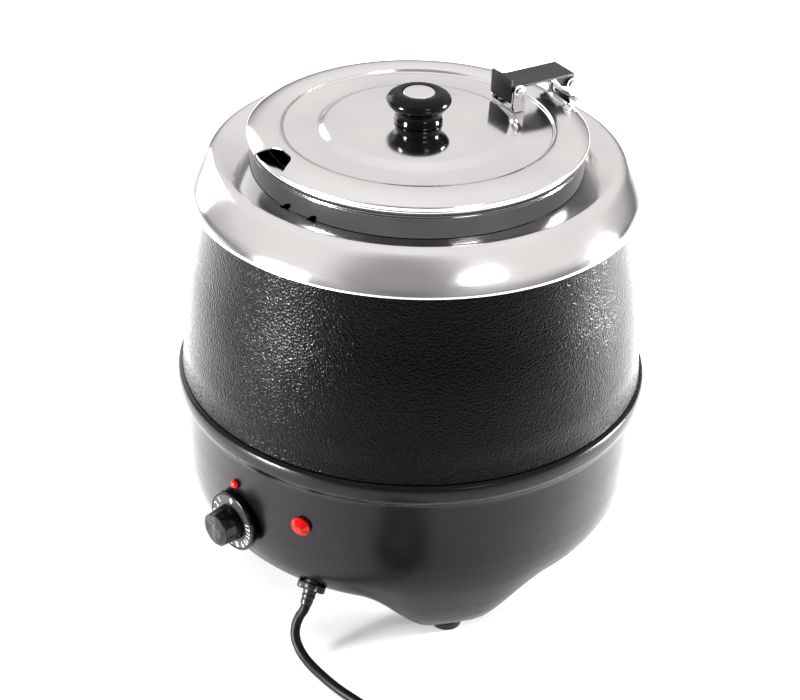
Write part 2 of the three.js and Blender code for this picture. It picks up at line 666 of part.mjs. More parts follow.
add(kettle, 'lid_bracket', cut(
  joined(
    block([-earInner - earSheet, lidTrackInner + 0.7, bracketFloor],
      [earInner + earSheet, frontPinY + earRadius, bracketFloor + earSheet]),
    ...onBothSides([
      [frontPinY - 4.2, bracketFloor], [frontPinY + earRadius, bracketFloor],
      ...earCircle(frontPinY, frontPinZ), [frontPinY - earRadius, bracketFloor + 6],
    ]),
  ),
  pinHole(frontPinY, frontPinZ),
  ...lidRivetSides.map((x) => throughLid(2.2).translate(x, lidRivetY, 0)),
), polishedSteel);
lidRivetSides.forEach((x, i) => {
  add(kettle, `lid_rivet_${i + 1}`, turned([
    [0, lidTrackZ - lidSheet - gap - 1.6], [3.4, lidTrackZ - lidSheet - gap - 1.6],
    [3.6, lidTrackZ - lidSheet - gap], [1.9, lidTrackZ - lidSheet - gap],
    [1.9, bracketFloor + earSheet + gap], [3.6, bracketFloor + earSheet + gap],
    [2.8, bracketFloor + earSheet + 1.6], [0, bracketFloor + earSheet + 2.1],
  ], { loop: false, sides: 12 }).translate(x, lidRivetY, 0), plainSteel);
});

// A hinge pin: a rod with a flat head at each end, outside the ears.
function hingePin(y, z) {
  const end = earInner + earSheet + gap;
  return joined(
    crossRod(pinRadius, -end - 1, end + 1, y, z, 12),
    crossRod(pinHeadRadius, -end - 1.5, -end, y, z, 12),
    crossRod(pinHeadRadius, end, end + 1.5, y, z, 12),
  );
}
add(kettle, 'front_pin', hingePin(frontPinY, frontPinZ), polishedSteel);
add(kettle, 'rear_pin', hingePin(rearPinY, rearPinZ), polishedSteel);

const armPlateZ = frontPinZ + armPlateRise;
const armTop = armPlateZ + armSheet;
const armFrontY = frontPinY - armFront;
const cheekInner = armHalfWidth - armSheet;
add(kettle, 'hinge_arm', cut(
  joined(
    block([-armHalfWidth, armFrontY, armPlateZ], [armHalfWidth, rearPinY + 2.4, armTop]),
    block([-armHalfWidth, armFrontY, frontPinZ - armFlap],
      [armHalfWidth, armFrontY + armSheet, frontPinZ + armLip]),
    crossRod(knuckleRadius, -armHalfWidth, armHalfWidth, frontPinY, frontPinZ, 16),
    ...[-1, 1].map((side) => sidePlate([
      [rearPinY - 14, armPlateZ + 0.4], [rearPinY - 8, rearPinZ - 1],
      ...arc(rearPinY, rearPinZ, 4.4, 200, 360, 8), [rearPinY + 2.4, armPlateZ + 0.4],
    ], Math.min(side * cheekInner, side * armHalfWidth), Math.max(side * cheekInner, side * armHalfWidth))),
  ),
  pinHole(frontPinY, frontPinZ),
  pinHole(rearPinY, rearPinZ),
), hingeBlack);

const standOff = collarRadius + gap;
const stemY = rearPinY + 1.2;
const tabOut = earInner + earSheet + 5.4;
add(kettle, 'rear_bracket', cut(
  joined(
    block([-14, standOff, collarRivetZ - 5], [14, standOff + 1.4, lidEdgeZ - 2]),
    block([-14, standOff, lidEdgeZ - 3.4], [14, stemY + 1.4, lidEdgeZ - 2]),
    block([-14, stemY, lidEdgeZ - 3.4], [14, stemY + 1.4, rearPinZ - earRadius - 4]),
    ...onBothSides([
      [rearPinY - 1.2, lidEdgeZ - 3.4], [rearPinY + earRadius, lidEdgeZ + 2],
      ...earCircle(rearPinY, rearPinZ), [rearPinY - earRadius, rearPinZ - 3],
      [rearPinY - 1.2, lidEdgeZ + 8],
    ]),
    ...[-1, 1].map((side) => block(
      [Math.min(side * earInner, side * tabOut), rearPinY - 0.2, lidEdgeZ + 4],
      [Math.max(side * earInner, side * tabOut), rearPinY + 4.4, lidEdgeZ + 5.4])),
  ),
  pinHole(rearPinY, rearPinZ),
  ...collarRivetSides.map((x) => rivetHole(x)),
), polishedSteel);
collarRivetSides.forEach((x, i) => {
  const inside = collarRadius - potSheet - 1.6;
  add(kettle, `collar_rivet_${i + 1}`, turned([
    [0, inside - 1.8], [3.2, inside - 1.8], [3.4, inside], [1.9, inside],
    [1.9, standOff + 1.7], [3.4, standOff + 1.7], [2.8, standOff + 3], [0, standOff + 3.4],
  ], { loop: false, sides: 12 }).rotateX(-Math.PI / 2).translate(x, 0, collarRivetZ), plainSteel);
});

// ---------------------------------------------------------------- cord and plug
function cordGland() {
  const bore = cordDiameter / 2 + gap;
  const sleeve = turned([
    [bore, -14], [5.9, -14], [5.9, 1], [7.6, 1.4], [7.6, 5], [6.2, 8], [5.2, 11],
    [cordDiameter / 2 + 1.1, 16], [bore, 16],
  ], { sides: 20 });
  const lobes = [-1, 1].map((side) => (
    new THREE.CylinderGeometry(4.6, 4.6, 5, 12).rotateX(Math.PI / 2).translate(side * 7, 0, 4.4)));
  return alongCord(cut(joined(sleeve, ...lobes), rod(bore, -20, 30, 20)));
}
add(sideGroup, 'cord_gland', cordGland(), rubberBlack);

// The cord starts inside the gland, turns down to the table and runs along it to its coil.
const exitAngle = rad(baseTurn + sidePanelAngle);
function beyondGland(distance) {
  const r = wallRadius(glandZ) + distance * Math.cos(rad(glandTilt));
  const z = glandZ - distance * Math.sin(rad(glandTilt));
  return new THREE.Vector3(r * Math.sin(exitAngle), -r * Math.cos(exitAngle), z);
}
const onTable = cordDiameter / 2;
const cordRoute = [
  beyondGland(-12), beyondGland(2), beyondGland(13), beyondGland(19),
  ...[[88.6, -145.2, 26.5], [90, -148.8, 19], [93.2, -150.6, 13.6], [98.8, -151, 8.3],
    [106, -150.6, 5], [115, -149.8, onTable + 0.2], [127, -148.4, onTable], [145, -145.2, onTable],
    [162, -140.2, onTable], [186, -132, onTable], [206, -126, onTable + 0.7],
    [226.8, -122, onTable + 3]].map((point) => new THREE.Vector3(...point)),
];

// The coil is drawn as one ring round its tie; `grow` adds clearance for what meets it.
const coilLow = tieSheet + gap;
function coil(grow = 0) {
  const [inner, outer] = [coilMiddle - coilHalfWidth - grow, coilMiddle + coilHalfWidth + grow];
  const [low, high] = [coilLow - grow, coilTop + grow];
  return turned([
    [inner, low + 2.5], [inner + 2.5, low], [outer - 2.5, low], [outer, low + 2.5],
    [outer, high - 2.5], [outer - 2.5, high], [inner + 2.5, high], [inner, high - 2.5],
  ], { sides: 32 }).translate(coilCentre.x, coilCentre.y, 0);
}
add(kettle, 'power_cord', cut(swept(cordRoute, cordDiameter / 2, cordSides, 22), coil(gap)), cordBlack);
add(kettle, 'cord_coil', coil(), cordBlack);

const tieAngle = rad(-60);
add(kettle, 'coil_tie', cut(
  block([coilMiddle - coilHalfWidth - gap - tieSheet, -5, 0],
    [coilMiddle + coilHalfWidth + gap + tieSheet, 5, coilTop + gap + tieSheet]),
  block([coilMiddle - coilHalfWidth - gap, -6, tieSheet],
    [coilMiddle + coilHalfWidth + gap, 6, coilTop + gap]),
  coil(gap).translate(-coilCentre.x, -coilCentre.y, 0),
).rotateZ(tieAngle).translate(coilCentre.x, coilCentre.y, 0), rubberBlack);

// The free end leaves the coil and carries the plug, which lies on its side.
const plugAt = new THREE.Vector3(coilCentre.x + 62, coilCentre.y - 62, plugRadius);
const lyingPlug = (geometry) => geometry.rotateX(Math.PI / 2).rotateZ(rad(28))
  .translate(plugAt.x, plugAt.y, plugAt.z);
const plugDirection = new THREE.Vector3(0, -1, 0).applyAxisAngle(new THREE.Vector3(0, 0, 1), rad(28));
const plugBack = plugAt.clone().addScaledVector(plugDirection, -gap);
add(kettle, 'cord_tail', cut(swept([
  new THREE.Vector3(coilCentre.x + coilMiddle, coilCentre.y, 14),
  new THREE.Vector3(coilCentre.x + coilMiddle + 3, coilCentre.y - 14, 13),
  new THREE.Vector3(coilCentre.x + coilMiddle + 11, coilCentre.y - 36, 14),
  plugBack.clone().addScaledVector(plugDirection, -10), plugBack,
], cordDiameter / 2, cordSides, 10), coil(gap)), cordBlack);
add(kettle, 'plug_body', lyingPlug(turned([
  [0, 0], [6.4, 0], [8, 10], [plugRadius - 2, 16], [plugRadius, 20], [plugRadius, plugLength - 2],
  [plugRadius - 1, plugLength], [0, plugLength],
], { loop: false, sides: 24 })), cordBlack);
[-9.5, 9.5].forEach((x, i) => {
  add(kettle, `plug_pin_${i + 1}`, lyingPlug(
    rod(2.3, plugLength + gap, plugLength + gap + pinLength, 12).translate(x, 0, 0)), plainSteel);
});

export default kettle;
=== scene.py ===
import json
import math

import bmesh
import bpy
from mathutils import Matrix, Vector

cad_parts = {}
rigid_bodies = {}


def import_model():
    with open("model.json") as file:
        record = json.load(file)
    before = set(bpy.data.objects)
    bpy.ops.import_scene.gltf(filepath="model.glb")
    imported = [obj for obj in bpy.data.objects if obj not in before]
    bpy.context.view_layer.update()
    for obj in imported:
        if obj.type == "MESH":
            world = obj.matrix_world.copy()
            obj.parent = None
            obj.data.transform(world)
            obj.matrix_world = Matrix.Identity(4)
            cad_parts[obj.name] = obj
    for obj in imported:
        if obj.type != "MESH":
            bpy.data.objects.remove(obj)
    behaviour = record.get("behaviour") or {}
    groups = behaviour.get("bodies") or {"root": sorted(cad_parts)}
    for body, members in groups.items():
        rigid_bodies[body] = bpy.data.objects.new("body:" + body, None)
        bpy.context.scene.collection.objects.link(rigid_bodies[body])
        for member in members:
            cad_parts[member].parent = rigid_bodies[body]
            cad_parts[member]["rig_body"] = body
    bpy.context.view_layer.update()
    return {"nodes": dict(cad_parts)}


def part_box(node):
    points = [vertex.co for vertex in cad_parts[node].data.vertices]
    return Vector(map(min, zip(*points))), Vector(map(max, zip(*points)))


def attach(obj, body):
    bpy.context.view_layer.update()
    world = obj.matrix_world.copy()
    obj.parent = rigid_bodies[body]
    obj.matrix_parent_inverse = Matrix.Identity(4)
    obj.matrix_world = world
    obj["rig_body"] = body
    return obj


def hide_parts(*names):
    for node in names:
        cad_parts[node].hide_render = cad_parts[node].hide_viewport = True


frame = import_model()

# ------------------------------------------------------------------ places, most from the frame
MM = 0.001


def low(node):
    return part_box(node)[0].z / MM


def high(node):
    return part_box(node)[1].z / MM


def reach(node):
    """Half the width of a turned node, which is its largest radius."""
    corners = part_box(node)
    return (corners[1].x - corners[0].x) / 2 / MM


ring_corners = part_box("top_ring")
AXIS = Vector((0, (ring_corners[0].y + ring_corners[1].y) / 2, 0))
BASE_TURN = math.radians(12.5)  # the dial; the feet and their lobes are counted from it
LAMP_TURN = math.radians(20)  # the power lamp and the cord, on from the dial
SIDE_TURN = BASE_TURN + LAMP_TURN

SKIRT_Z = low("top_ring")
SKIRT_R = reach("top_ring")
SEAM_Z = high("base_shell")
BEAD_R = reach("base_shell")
POT_RIM_Z = high("soup_pot")
POT_FLOOR_Z = low("soup_pot")
COLLAR_R = reach("soup_pot")
LID_EDGE_Z = low("lid") + 0.3
LID_R = reach("lid")
KNOB_Z = low("lid_knob")
DISC_Z = KNOB_Z - 0.3
TRACK_Z = DISC_Z - 4.2
WELL_FLOOR_Z = low("water_well") + 1
CONTROL_Z = (low("control_knob") + high("control_knob")) / 2
INDEX_Z = (low("index_lamp") + high("index_lamp")) / 2
LAMP_Z = (low("power_lamp_lens") + high("power_lamp_lens")) / 2
BODY_R = 171
SEAM_INNER_R = 156  # inner end of the barrel's and the base's turned-in edges
CORD_D = 7

# ------------------------------------------------------------------ camera, floor and light
scene = bpy.context.scene


def make_camera():
    """Looks down on the kettle from its front right."""
    camera = bpy.data.objects.new("camera", bpy.data.cameras.new("camera"))
    scene.collection.objects.link(camera)
    scene.camera = camera
    camera.data.sensor_width = 36
    camera.data.lens = 80.1
    camera.data.clip_end = 30
    stand = Vector((0.9587, -0.6108, 0.8765))
    pitch, yaw, roll, around = (math.radians(a) for a in (32.18, -0.42, 1.6, 57.5))
    ahead = Vector((math.sin(yaw) * math.cos(pitch), math.cos(yaw) * math.cos(pitch), -math.sin(pitch)))
    ahead = Matrix.Rotation(around, 3, "Z") @ ahead
    right = ahead.cross(Vector((0, 0, 1))).normalized()
    up = right.cross(ahead)
    across = right * math.cos(roll) + up * math.sin(roll)
    upward = up * math.cos(roll) - right * math.sin(roll)
    camera.matrix_world = Matrix.Translation(stand + AXIS) @ Matrix(
        (across, upward, -ahead)).transposed().to_4x4()


def make_floor():
    """A large matt white floor."""
    half_width = 6
    bm = bmesh.new()
    bmesh.ops.create_grid(bm, x_segments=1, y_segments=1, size=half_width)
    mesh = bpy.data.meshes.new("floor")
    bm.to_mesh(mesh)
    bm.free()
    floor = bpy.data.objects.new("floor", mesh)
    scene.collection.objects.link(floor)
    paint = bpy.data.materials.new("floor_white")
    paint.use_nodes = True
    shader = paint.node_tree.nodes["Principled BSDF"]
    shader.inputs["Base Color"].default_value = (0.9, 0.9, 0.9, 1)
    shader.inputs["Roughness"].default_value = 0.7
    shader.inputs["Specular IOR Level"].default_value = 0.2
    mesh.materials.append(paint)


def soft_light(name, place, target, size, power, mirrored=True):
    """A rectangular light aimed at a target; polished pieces mirror it unless told otherwise."""
    lamp = bpy.data.lights.new(name, "AREA")
    lamp.shape = "RECTANGLE"
    lamp.size, lamp.size_y = size
    lamp.energy = power
    light = bpy.data.objects.new(name, lamp)
    scene.collection.objects.link(light)
    light.location = place
    light.visible_camera = False
    light.visible_glossy = mirrored
    light.rotation_euler = (Vector(target) - Vector(place)).to_track_quat("-Z", "Y").to_euler()


def toward(azimuth, elevation, distance=1.0):
    """A point round the frame's origin, its azimuth counted from the front towards the right."""
    a, e = math.radians(azimuth), math.radians(elevation)
    return Vector((math.sin(a) * math.cos(e), -math.cos(a) * math.cos(e), math.sin(e))) * distance


def make_room():
    """A pale room, darker at the horizon and on the side that the front of the ring mirrors."""
    tones = ((0.0, (0.2, 0.195, 0.2, 1)), (0.14, (0.42, 0.41, 0.415, 1)),
             (0.36, (0.62, 0.605, 0.6, 1)), (1.0, (0.7, 0.69, 0.685, 1)))
    world = bpy.data.worlds.new("room")
    scene.world = world
    world.use_nodes = True
    nodes, links = world.node_tree.nodes, world.node_tree.links
    where = nodes.new("ShaderNodeTexCoord")
    split = nodes.new("ShaderNodeSeparateXYZ")
    sky = nodes.new("ShaderNodeValToRGB")
    stops = sky.color_ramp.elements
    stops[0].position, stops[0].color = tones[0]
    stops[1].position, stops[1].color = tones[-1]
    for position, colour in tones[1:-1]:
        stops.new(position).color = colour
    front = nodes.new("ShaderNodeVectorMath")
    front.operation = "DOT_PRODUCT"
    front.inputs[1].default_value = toward(52, 30)
    shade = nodes.new("ShaderNodeMapRange")
    shade.interpolation_type = "SMOOTHSTEP"
    for socket, number in (("From Min", 0.78), ("From Max", 0.97), ("To Min", 1.0), ("To Max", 0.5)):
        shade.inputs[socket].default_value = number
    dim = nodes.new("ShaderNodeVectorMath")
    dim.operation = "SCALE"
    links.new(where.outputs["Generated"], split.inputs[0])
    links.new(split.outputs["Z"], sky.inputs[0])
    links.new(where.outputs["Generated"], front.inputs[0])
    links.new(front.outputs["Value"], shade.inputs["Value"])
    links.new(sky.outputs[0], dim.inputs[0])
    links.new(shade.outputs["Result"], dim.inputs["Scale"])
    links.new(dim.outputs["Vector"], nodes["Background"].inputs["Color"])
    nodes["Background"].inputs["Strength"].default_value = 1.0


def make_lights():
    """Two low upright boxes for the barrel's glints, one overhead box and two weak panels."""
    scene.view_settings.view_transform = "Standard"
    scene.view_settings.look = "High Contrast"
    middle = (0, 0, 0.2)
    soft_light("box_overhead", toward(240, 80, 2.3), middle, (1.9, 1.9), 95, mirrored=False)
    soft_light("box_left", toward(-4, 10, 2.2), middle, (0.4, 0.7), 95)
    soft_light("box_right", toward(156, 10, 2.2), middle, (0.4, 0.7), 120)
    soft_light("panel_left", toward(-76, 22, 2.2), middle, (1.2, 1.2), 7)
    soft_light("box_side", toward(92, 38, 2.2), middle, (0.5, 0.4), 5)


make_camera()
make_floor()
make_room()
make_lights()


# ------------------------------------------------------------------ finishes
def shader_of(material):
    return material.node_tree.nodes["Principled BSDF"]


def finish(name, colour, roughness, metallic=0.0, **sockets):
    material = bpy.data.materials.new(name)
    material.use_nodes = True
    shader = shader_of(material)
    shader.inputs["Base Color"].default_value = (*colour, 1)
    shader.inputs["Roughness"].default_value = roughness
    shader.inputs["Metallic"].default_value = metallic
    for socket, value in sockets.items():
        shader.inputs[socket.replace("_", " ")].default_value = value
    return material


def placed(material, stretch=(1, 1, 1)):
    """Object coordinates centred on the kettle's axis."""
    nodes, links = material.node_tree.nodes, material.node_tree.links
    where = nodes.new("ShaderNodeTexCoord")
    mapping = nodes.new("ShaderNodeMapping")
    mapping.inputs["Location"].default_value = (0, -AXIS.y * stretch[1], 0)
    mapping.inputs["Scale"].default_value = stretch
    links.new(where.outputs["Object"], mapping.inputs["Vector"])
    return mapping.outputs["Vector"]


def noise(material, vector, scale, detail=3.0, rough=0.55, distortion=0.0):
    node = material.node_tree.nodes.new("ShaderNodeTexNoise")
    node.inputs["Scale"].default_value = scale
    node.inputs["Detail"].default_value = detail
    node.inputs["Roughness"].default_value = rough
    node.inputs["Distortion"].default_value = distortion
    material.node_tree.links.new(vector, node.inputs["Vector"])
    return node.outputs["Fac"]


NOISE_LOW, NOISE_HIGH = 0.3, 0.7  # the stretch of a noise pattern in which it really varies


def vary_roughness(material, value, smooth, dull):
    node = material.node_tree.nodes.new("ShaderNodeMapRange")
    for socket, number in (("From Min", NOISE_LOW), ("From Max", NOISE_HIGH),
                           ("To Min", smooth), ("To Max", dull)):
        node.inputs[socket].default_value = number
    material.node_tree.links.new(value, node.inputs["Value"])
    material.node_tree.links.new(node.outputs["Result"], shader_of(material).inputs["Roughness"])


def vary_colour(material, value, dark, light):
    ramp = material.node_tree.nodes.new("ShaderNodeValToRGB")
    stops = ramp.color_ramp.elements
    stops[0].position, stops[0].color = NOISE_LOW, (*dark, 1)
    stops[1].position, stops[1].color = NOISE_HIGH, (*light, 1)
    material.node_tree.links.new(value, ramp.inputs[0])
    material.node_tree.links.new(ramp.outputs[0], shader_of(material).inputs["Base Color"])


def relief(material, layers):
    """Stacks surface reliefs, given as (pattern, height in mm, strength)."""
    nodes, links = material.node_tree.nodes, material.node_tree.links
    below = None
    for value, height, strength in layers:
        bump = nodes.new("ShaderNodeBump")
        bump.inputs["Distance"].default_value = height * MM
        bump.inputs["Strength"].default_value = strength
        links.new(value, bump.inputs["Height"])
        if below:
            links.new(below, bump.inputs["Normal"])
        below = bump.outputs["Normal"]
    links.new(below, shader_of(material).inputs["Normal"])


def spun_lines(material, per_mm):
    """Fine rings round the axis, as spinning and polishing leave them."""
    nodes, links = material.node_tree.nodes, material.node_tree.links
    flat = nodes.new("ShaderNodeVectorMath")
    flat.operation = "MULTIPLY"
    flat.inputs[1].default_value = (1, 1, 0)
    links.new(placed(material), flat.inputs[0])
    radius = nodes.new("ShaderNodeVectorMath")
    radius.operation = "LENGTH"
    links.new(flat.outputs["Vector"], radius.inputs[0])
    lines = nodes.new("ShaderNodeTexNoise")
    lines.noise_dimensions = "1D"
    lines.inputs["Scale"].default_value = per_mm / MM
    lines.inputs["Detail"].default_value = 4
    links.new(radius.outputs["Value"], lines.inputs["W"])
    return lines.outputs["Fac"]


def polished_steel(name="polished_steel", dark=(0.78, 0.765, 0.77), light=(0.88, 0.875, 0.87),
                   dull=0.17):
    """Bright spun steel: faint rings, a slow waviness and a few duller smears."""
    steel = finish(name, light, 0.1, 1.0)
    smear = noise(steel, placed(steel), 14, 5, 0.6, 0.8)
    vary_roughness(steel, smear, dull - 0.11, dull)
    vary_colour(steel, noise(steel, placed(steel), 9, 2), dark, light)
    wave = noise(steel, placed(steel), 22, 1, 0.3)
    relief(steel, ((spun_lines(steel, 1.2), 0.006, 0.5), (wave, 0.12, 0.25)))
    return steel


def plain_steel(name="plain_steel", colour=(0.56, 0.57, 0.58), roughness=0.34, heat=None):
    """Unpolished sheet and rod with a drawn grain and handling marks."""
    steel = finish(name, colour, roughness, 1.0)
    grain = noise(steel, placed(steel, (40, 40, 900)), 1.0, 3)
    marks = noise(steel, placed(steel), 60, 6, 0.65, 1.2)
    vary_roughness(steel, marks, roughness - 0.1, roughness + 0.14)
    vary_colour(steel, marks, heat or [c * 0.82 for c in colour], [min(1, c * 1.12) for c in colour])
    relief(steel, ((grain, 0.02, 0.35), (marks, 0.03, 0.3)))
    return steel


def leather_black():
    """Glossy black enamel with a fine pebbled grain that sparkles where a light catches it."""
    black = finish("textured_black", (0.002, 0.002, 0.0025), 0.16, Specular_IOR_Level=0.27,
                   Specular_Tint=(0.4, 0.4, 0.4, 1))
    nodes, links = black.node_tree.nodes, black.node_tree.links
    cells = nodes.new("ShaderNodeTexVoronoi")
    cells.feature = "SMOOTH_F1"
    cells.inputs["Scale"].default_value = 700
    cells.inputs["Smoothness"].default_value = 0.8
    links.new(placed(black), cells.inputs["Vector"])
    creases = noise(black, placed(black), 600, 2, 0.5, 0.3)
    patches = noise(black, placed(black), 40, 3)
    vary_roughness(black, patches, 0.1, 0.18)
    vary_colour(black, creases, (0.0015, 0.0015, 0.002), (0.004, 0.004, 0.0045))
    relief(black, ((cells.outputs["Distance"], 0.42, 0.9), (creases, 0.3, 0.9)))
    return black


def moulded(name, colour, smooth, dull, grain_size, grain_height, sheen=1.12, **sockets):
    """Moulded plastic or rubber: grain, cloudy gloss and light scuffs."""
    plastic = finish(name, colour, (smooth + dull) / 2, **sockets)
    cloud = noise(plastic, placed(plastic), 18, 5, 0.6)
    grain = noise(plastic, placed(plastic), 1 / (grain_size * MM), 2, 0.6)
    scuff = noise(plastic, placed(plastic, (1, 1, 0.25)), 160, 6, 0.7, 2.0)
    vary_roughness(plastic, cloud, smooth, dull)
    vary_colour(plastic, scuff, [c / sheen for c in colour], [min(1, c * sheen) for c in colour])
    relief(plastic, ((grain, grain_height, 0.6), (scuff, 0.01, 0.2)))
    return plastic


steel = polished_steel()
# darker steel for the pot's collar: painted shade standing in for the shadow the lid casts on it
collar_painted_shade_steel = polished_steel("collar_painted_shade_steel", (0.19, 0.19, 0.195), (0.25, 0.25, 0.255), 0.2)
sheet_steel = plain_steel()
heated_steel = plain_steel("heated_steel", (0.36, 0.33, 0.31), 0.42, heat=(0.24, 0.2, 0.2))
aluminium = plain_steel("aluminium", (0.72, 0.73, 0.74), 0.4)
brass = plain_steel("brass", (0.66, 0.47, 0.2), 0.3, heat=(0.5, 0.32, 0.13))
barrel_black = leather_black()
base_black = moulded("satin_black", (0.006, 0.006, 0.007), 0.22, 0.3, 0.45, 0.02, Specular_IOR_Level=0.5,
                     Specular_Tint=(0.5, 0.5, 0.5, 1))
hinge_black = moulded("hinge_black", (0.02, 0.02, 0.022), 0.38, 0.55, 0.6, 0.05)
knob_black = moulded("knob_black", (0.004, 0.004, 0.005), 0.1, 0.2, 1.2, 0.01, Specular_IOR_Level=0.4)
face_black = moulded("dial_face_black", (0.02, 0.02, 0.021), 0.38, 0.5, 0.4, 0.08)
grip_grey = moulded("grip_face_grey", (0.11, 0.11, 0.115), 0.35, 0.5, 0.4, 0.02)
rubber = moulded("rubber_black", (0.009, 0.009, 0.01), 0.3, 0.5, 0.5, 0.03)
cord_jacket = moulded("cord_black", (0.005, 0.005, 0.006), 0.4, 0.52, 0.7, 0.02, Specular_IOR_Level=0.25)
ceramic = moulded("white_ceramic", (0.78, 0.75, 0.7), 0.35, 0.6, 0.6, 0.03, 1.06)
silicone = moulded("silicone_grey", (0.48, 0.47, 0.44), 0.5, 0.75, 0.7, 0.03, 1.06)
numeral_white = moulded("numeral_white", (0.82, 0.82, 0.8), 0.4, 0.6, 0.3, 0.01, 1.05)
red_lens = moulded("red_lens", (0.3, 0.004, 0.006), 0.08, 0.16, 1.5, 0.01, 1.2, Specular_IOR_Level=0.4)


# ------------------------------------------------------------------ shaping
def outline(points, closed=False, segments=5):
    """A line through (radius, height, rounding) points with its corners rounded."""
    bm = bmesh.new()
    corners = [(bm.verts.new((p[0] * MM, 0, p[1] * MM)), p[2] if len(p) > 2 else 0) for p in points]
    for (a, _), (b, _) in zip(corners, corners[1:] + corners[:1] if closed else corners[1:]):
        bm.edges.new((a, b))
    for size in sorted({s for _, s in corners if s}):
        bmesh.ops.bevel(bm, geom=[v for v, s in corners if s == size], offset=size * MM,
                        offset_type="OFFSET", affect="VERTICES", segments=segments, profile=0.5,
                        material=-1)
    return bm


def turned(points, closed=False, steps=144, segments=5):
    """An outline turned a full circle about the upright axis."""
    bm = outline(points, closed, segments)
    bmesh.ops.spin(bm, geom=bm.verts[:] + bm.edges[:], cent=(0, 0, 0), axis=(0, 0, 1), dvec=(0, 0, 0),
                   angle=2 * math.pi, steps=steps, use_merge=True, use_duplicate=False)
    bmesh.ops.remove_doubles(bm, verts=bm.verts, dist=1e-6)
    bmesh.ops.recalc_face_normals(bm, faces=bm.faces)
    return bm


def turned_sheet(points, steps=144, segments=5):
    """A turned surface with its highest face looking up, ready to get its thickness."""
    bm = turned(points, False, steps, segments)
    if max(bm.faces, key=lambda f: f.calc_center_median().z).normal.z < 0:
        bmesh.ops.reverse_faces(bm, faces=bm.faces)
    return bm


def rod(bm, radius, bottom, top, sides=48, at=(0, 0)):
    """Adds an upright closed cylinder."""
    return bmesh.ops.create_cone(
        bm, cap_ends=True, segments=sides, radius1=radius * MM, radius2=radius * MM,
        depth=(top - bottom) * MM,
        matrix=Matrix.Translation(Vector((at[0], at[1], (bottom + top) / 2)) * MM))["verts"]


def eased(bm, size, least=30):
    """Rounds every edge sharper than an angle."""
    edges = [e for e in bm.edges if len(e.link_faces) == 2
             and e.calc_face_angle(0) > math.radians(least)]
    bmesh.ops.bevel(bm, geom=edges, offset=size * MM, offset_type="OFFSET", affect="EDGES",
                    segments=3, profile=0.5, material=-1, clamp_overlap=True)


def shaded(mesh, sharp=35):
    """Smooth faces, with edges past an angle kept crisp."""
    bm = bmesh.new()
    bm.from_mesh(mesh)
    for face in bm.faces:
        face.smooth = True
    for edge in bm.edges:
        edge.smooth = len(edge.link_faces) != 2 or edge.calc_face_angle(0) < math.radians(sharp)
    bm.to_mesh(mesh)
    bm.free()


def settled(obj):
    """Turns a piece's modifiers into its mesh."""
    bpy.context.view_layer.update()
    made = bpy.data.meshes.new_from_object(obj.evaluated_get(bpy.context.evaluated_depsgraph_get()))
    obj.modifiers.clear()
    obj.data = made


def about_axis(turn=0.0):
    return Matrix.Translation(AXIS) @ Matrix.Rotation(turn, 4, "Z")


def facing(turn, height):
    """Stands a piece that was made upright out of the wall, at an angle round the body."""
    return about_axis(turn) @ Matrix.Translation((0, 0, height * MM)) @ Matrix.Rotation(
        math.radians(90), 4, "X")


def object_of(name, bm, place):
    bmesh.ops.transform(bm, matrix=place, verts=bm.verts)
    mesh = bpy.data.meshes.new(name)
    bm.to_mesh(mesh)
    bm.free()
    obj = bpy.data.objects.new(name, mesh)
    scene.collection.objects.link(obj)
    return obj


def piece(name, bm, body, material, stands_for=(), place=None, wall=0.0, holes=None, sharp=35,
          folded=False):
    """Puts a shape in its place: gives a sheet its wall, cuts its holes and joins it to its body."""
    obj = object_of(name, bm, about_axis() if place is None else place)
    if wall:
        sheet = obj.modifiers.new("wall", "SOLIDIFY")
        sheet.thickness, sheet.offset, sheet.use_even_offset = wall * MM, -1, True
        settled(obj)
    if holes is not None:
        tool = object_of(name + "_holes", holes, about_axis())
        cut = obj.modifiers.new("holes", "BOOLEAN")
        cut.operation, cut.solver, cut.object, cut.use_self = "DIFFERENCE", "EXACT", tool, folded
        settled(obj)
        bpy.data.objects.remove(tool)
    shaded(obj.data, sharp)
    obj.data.materials.clear()
    obj.data.materials.append(material)
    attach(obj, body)
    if stands_for:
        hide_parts(*stands_for)
    return obj


def dressed(node, size, material):
    """A CAD piece's own shape, made whole and with its edges eased."""
    source = frame["nodes"][node]
    bm = bmesh.new()
    bm.from_mesh(source.data)
    bmesh.ops.remove_doubles(bm, verts=bm.verts, dist=1e-6)
    bmesh.ops.dissolve_limit(bm, angle_limit=math.radians(1), verts=bm.verts, edges=bm.edges)
    if size:
        eased(bm, size)
    return piece(node + "_finished", bm, source["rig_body"], material, (node,), Matrix())


# ------------------------------------------------------------------ cord, first of the pieces
GLAND_Z = 49
GLAND_R = 155.9
GLAND_TILT = math.radians(52)
COIL = Vector((240, -159.5, 0))
COIL_RADII = (35, 42)  # the inner and the outer column of turns
COIL_BED = 4.8  # height of the lowest turns' middle
PLUG_BACK = COIL + Vector((62, -62, 17))
PLUG_TURN = math.radians(28)


def beyond_gland(distance):
    """A point on the line in which the cord leaves the gland."""
    r = GLAND_R + distance * math.cos(GLAND_TILT)
    return Vector((r * math.sin(SIDE_TURN), -r * math.cos(SIDE_TURN),
                   GLAND_Z - distance * math.sin(GLAND_TILT)))


